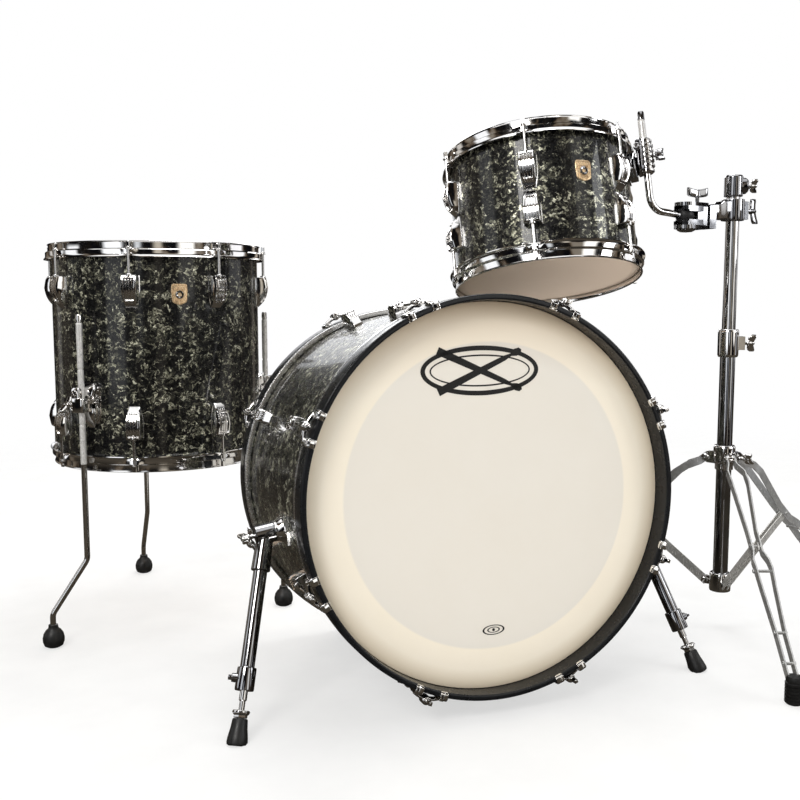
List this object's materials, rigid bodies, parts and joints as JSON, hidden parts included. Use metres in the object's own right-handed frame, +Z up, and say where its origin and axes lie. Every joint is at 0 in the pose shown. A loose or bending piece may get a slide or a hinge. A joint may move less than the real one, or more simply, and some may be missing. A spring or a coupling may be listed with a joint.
{
  "type": "acoustic drum kit",
  "caption": "Acoustic drum kit in pearl wrap: a bass drum on folding spurs, a floor tom on sliding legs and a rack tom clamped to a folding tripod stand.",
  "frame": {"origin": "on the floor, in the middle of the footprint", "axes": "+Z up, +X to the audience's right along the widest extent, +Y to the drummer; the front head faces -Y"},
  "size_m": [1.6505, 1.1747, 0.9952],
  "materials": {
    "pearl_wrap": "gloss pearl wrap, black with silver and olive flakes",
    "black_lacquer": "gloss black lacquer on wood",
    "drum_head": "coated polyester film, warm off-white",
    "chrome": "polished chrome plate",
    "black_rubber": "black rubber",
    "black_nylon": "black nylon",
    "badge_brass": "etched brass"
  },
  "bodies": {
    "bass_drum": {"bass_shell": "pearl_wrap", "bass_front_hoop": "black_lacquer", "bass_rear_hoop": "black_lacquer", "bass_front_head": "drum_head", "bass_rear_head": "drum_head", "bass_claw_1": "chrome", "bass_claw_2": "chrome", "bass_claw_3": "chrome", "bass_claw_4": "chrome", "bass_claw_5": "chrome", "bass_claw_6": "chrome", "bass_claw_7": "chrome", "bass_claw_8": "chrome"},
    "spur_left": {"spur_tube_left": "chrome"},
    "spur_left_rod": {"spur_rod_left": "chrome", "spur_tip_left": "black_rubber"},
    "spur_left_wing": {"spur_wing_left": "chrome"},
    "spur_right": {"spur_tube_right": "chrome"},
    "spur_right_rod": {"spur_rod_right": "chrome", "spur_tip_right": "black_rubber"},
    "spur_right_wing": {"spur_wing_right": "chrome"},
    "floor_tom": {"floor_tom_shell": "pearl_wrap", "floor_tom_top_hoop": "chrome", "floor_tom_bottom_hoop": "chrome", "floor_tom_top_head": "drum_head", "floor_tom_bottom_head": "drum_head"},
    "floor_leg_1": {"floor_leg_1": "chrome", "floor_foot_1": "black_rubber"},
    "floor_wing_1": {"floor_wing_1": "chrome"},
    "floor_leg_2": {"floor_leg_2": "chrome", "floor_foot_2": "black_rubber"},
    "floor_wing_2": {"floor_wing_2": "chrome"},
    "floor_leg_3": {"floor_leg_3": "chrome", "floor_foot_3": "black_rubber"},
    "floor_wing_3": {"floor_wing_3": "chrome"},
    "stand_base": {"stand_base_tube": "chrome"},
    "stand_upper": {"stand_upper_tube": "chrome"},
    "stand_hub": {"stand_hub": "chrome"},
    "collar_wing": {"collar_wing": "chrome"},
    "hub_wing": {"hub_wing": "chrome"},
    "cap_wing": {"cap_wing": "chrome"},
    "stand_leg_1": {"stand_leg_1": "chrome"},
    "stand_brace_1": {"stand_brace_1": "chrome"},
    "stand_leg_2": {"stand_leg_2": "chrome"},
    "stand_brace_2": {"stand_brace_2": "chrome"},
    "stand_leg_3": {"stand_leg_3": "chrome"},
    "stand_brace_3": {"stand_brace_3": "chrome"},
    "clamp": {"tom_clamp": "chrome"},
    "clamp_ball": {"clamp_ball": "black_nylon"},
    "tom_arm": {"tom_arm": "chrome"},
    "rack_tom": {"rack_tom_shell": "pearl_wrap", "rack_tom_top_hoop": "chrome", "rack_tom_bottom_hoop": "chrome", "rack_tom_top_head": "drum_head", "rack_tom_bottom_head": "drum_head", "tom_mount": "chrome"},
    "clamp_top_wing": {"clamp_top_wing": "chrome"},
    "clamp_side_wing": {"clamp_side_wing": "chrome"},
    "tom_mount_wing": {"tom_mount_wing": "chrome"}
  },
  "joints": [
    {"name": "spur_left_fold", "type": "hinge", "parent": "bass_drum", "child": "spur_left", "pos_m": [-0.4785, -0.2735, 0.28], "axis": [0.9868, 0.0101, 0.1613], "range_deg": [0, 100]},
    {"name": "spur_left_length", "type": "slide", "parent": "spur_left", "child": "spur_left_rod", "axis": [-0.2361, -0.4092, -0.8814], "range_m": [-0.02, 0.03]},
    {"name": "spur_left_wing_turn", "type": "hinge", "parent": "bass_drum", "child": "spur_left_wing", "pos_m": [-0.4785, -0.2735, 0.28], "axis": [-0.9868, -0.0101, -0.1613], "continuous": true},
    {"name": "spur_right_fold", "type": "hinge", "parent": "bass_drum", "child": "spur_right", "pos_m": [0.1875, -0.2735, 0.28], "axis": [0.9868, -0.0101, -0.1613], "range_deg": [0, 76]},
    {"name": "spur_right_length", "type": "slide", "parent": "spur_right", "child": "spur_right_rod", "axis": [0.2361, -0.4092, -0.8814], "range_m": [-0.02, 0.03]},
    {"name": "spur_right_wing_turn", "type": "hinge", "parent": "bass_drum", "child": "spur_right_wing", "pos_m": [0.1875, -0.2735, 0.28], "axis": [0.9868, -0.0101, -0.1613], "continuous": true},
    {"name": "floor_tom_place", "type": "slide", "parent": "bass_drum", "child": "floor_tom", "axis": [-1, 0, 0], "range_m": [0, 0.15]},
    {"name": "floor_leg_1_height", "type": "slide", "parent": "floor_tom", "child": "floor_leg_1", "axis": [0, 0, -1], "range_m": [-0.05, 0.06]},
    {"name": "floor_wing_1_turn", "type": "hinge", "parent": "floor_tom", "child": "floor_wing_1", "pos_m": [-0.75566, 0.12528, 0.456], "axis": [-0.7071, 0.7071, 0], "continuous": true},
    {"name": "floor_leg_2_height", "type": "slide", "parent": "floor_tom", "child": "floor_leg_2", "axis": [0, 0, -1], "range_m": [-0.05, 0.06]},
    {"name": "floor_wing_2_turn", "type": "hinge", "parent": "floor_tom", "child": "floor_wing_2", "pos_m": [-0.35659, 0.25853, 0.456], "axis": [0.0576, -0.9983, 0], "continuous": true},
    {"name": "floor_leg_3_height", "type": "slide", "parent": "floor_tom", "child": "floor_leg_3", "axis": [0, 0, -1], "range_m": [-0.05, 0.06]},
    {"name": "floor_wing_3_turn", "type": "hinge", "parent": "floor_tom", "child": "floor_wing_3", "pos_m": [-0.57213, 0.49281, 0.456], "axis": [0.9983, 0.0576, 0], "continuous": true},
    {"name": "stand_place", "type": "slide", "parent": "bass_drum", "child": "stand_base", "axis": [1, 0, 0], "range_m": [0, 0.15]},
    {"name": "stand_height", "type": "slide", "parent": "stand_base", "child": "stand_upper", "axis": [0, 0, 1], "range_m": [0, 0.15]},
    {"name": "hub_slide", "type": "slide", "parent": "stand_base", "child": "stand_hub", "axis": [0, 0, 1], "range_m": [0, 0.1]},
    {"name": "collar_wing_turn", "type": "hinge", "parent": "stand_base", "child": "collar_wing", "pos_m": [0.47457, -0.23506, 0.566], "axis": [0.9397, -0.342, 0], "continuous": true},
    {"name": "hub_wing_turn", "type": "hinge", "parent": "stand_hub", "child": "hub_wing", "pos_m": [0.46558, -0.24791, 0.342], "axis": [0.6428, -0.766, 0], "continuous": true},
    {"name": "cap_wing_turn", "type": "hinge", "parent": "stand_upper", "child": "cap_wing", "pos_m": [0.46283, -0.23079, 0.8655], "axis": [0.9397, -0.342, 0], "continuous": true},
    {"name": "leg_1_fold", "type": "hinge", "parent": "stand_hub", "child": "stand_leg_1", "pos_m": [0.43413, -0.25759, 0.341], "axis": [0.9397, -0.342, 0], "range_deg": [0, 25]},
    {"name": "brace_1_fold", "type": "hinge", "parent": "stand_base", "child": "stand_brace_1", "pos_m": [0.43584, -0.25289, 0.092], "axis": [-0.9397, 0.342, 0], "range_deg": [0, 27]},
    {"name": "leg_2_fold", "type": "hinge", "parent": "stand_hub", "child": "stand_leg_2", "pos_m": [0.48057, -0.21862, 0.341], "axis": [-0.1736, 0.9848, 0], "range_deg": [0, 25]},
    {"name": "brace_2_fold", "type": "hinge", "parent": "stand_base", "child": "stand_brace_2", "pos_m": [0.47564, -0.21949, 0.092], "axis": [0.1736, -0.9848, 0], "range_deg": [0, 27]},
    {"name": "leg_3_fold", "type": "hinge", "parent": "stand_hub", "child": "stand_leg_3", "pos_m": [0.4236, -0.19789, 0.341], "axis": [-0.766, -0.6428, 0], "range_deg": [0, 25]},
    {"name": "brace_3_fold", "type": "hinge", "parent": "stand_base", "child": "stand_brace_3", "pos_m": [0.42682, -0.20172, 0.092], "axis": [0.766, 0.6428, 0], "range_deg": [0, 27]},
    {"name": "clamp_swivel", "type": "hinge", "parent": "stand_upper", "child": "clamp", "pos_m": [0.4461, -0.2247, 0.82], "axis": [0, 0, 1], "range_deg": [-12, 15]},
    {"name": "ball_tilt", "type": "hinge", "parent": "clamp", "child": "clamp_ball", "pos_m": [0.3245, -0.242, 0.805], "axis": [-0.1409, 0.99, 0], "range_deg": [0, 20]},
    {"name": "arm_roll", "type": "hinge", "parent": "clamp_ball", "child": "tom_arm", "pos_m": [0.3245, -0.242, 0.805], "axis": [0.9806, 0.179, -0.0796], "range_deg": [0, 20]},
    {"name": "tom_swivel", "type": "hinge", "parent": "tom_arm", "child": "rack_tom", "pos_m": [0.24048, -0.25734, 0.81182], "axis": [0.0186, 0.2554, 0.9667], "range_deg": [-8, 10]},
    {"name": "clamp_top_wing_turn", "type": "hinge", "parent": "clamp", "child": "clamp_top_wing", "pos_m": [0.3542, -0.23777, 0.8296], "axis": [0, 0, 1], "continuous": true},
    {"name": "clamp_side_wing_turn", "type": "hinge", "parent": "clamp", "child": "clamp_side_wing", "pos_m": [0.4761, -0.22043, 0.82], "axis": [0.99, 0.1408, 0], "continuous": true},
    {"name": "tom_mount_wing_turn", "type": "hinge", "parent": "rack_tom", "child": "tom_mount_wing", "pos_m": [0.25168, -0.23778, 0.91092], "axis": [0.8244, -0.551, 0.1297], "continuous": true}
  ],
  "couplings": [
    {"joint": "leg_1_fold", "follows": "hub_slide", "rad_per_m": 4.26},
    {"joint": "brace_1_fold", "follows": "hub_slide", "rad_per_m": 4.64},
    {"joint": "leg_2_fold", "follows": "hub_slide", "rad_per_m": 4.26},
    {"joint": "brace_2_fold", "follows": "hub_slide", "rad_per_m": 4.64},
    {"joint": "leg_3_fold", "follows": "hub_slide", "rad_per_m": 4.26},
    {"joint": "brace_3_fold", "follows": "hub_slide", "rad_per_m": 4.64}
  ]
}
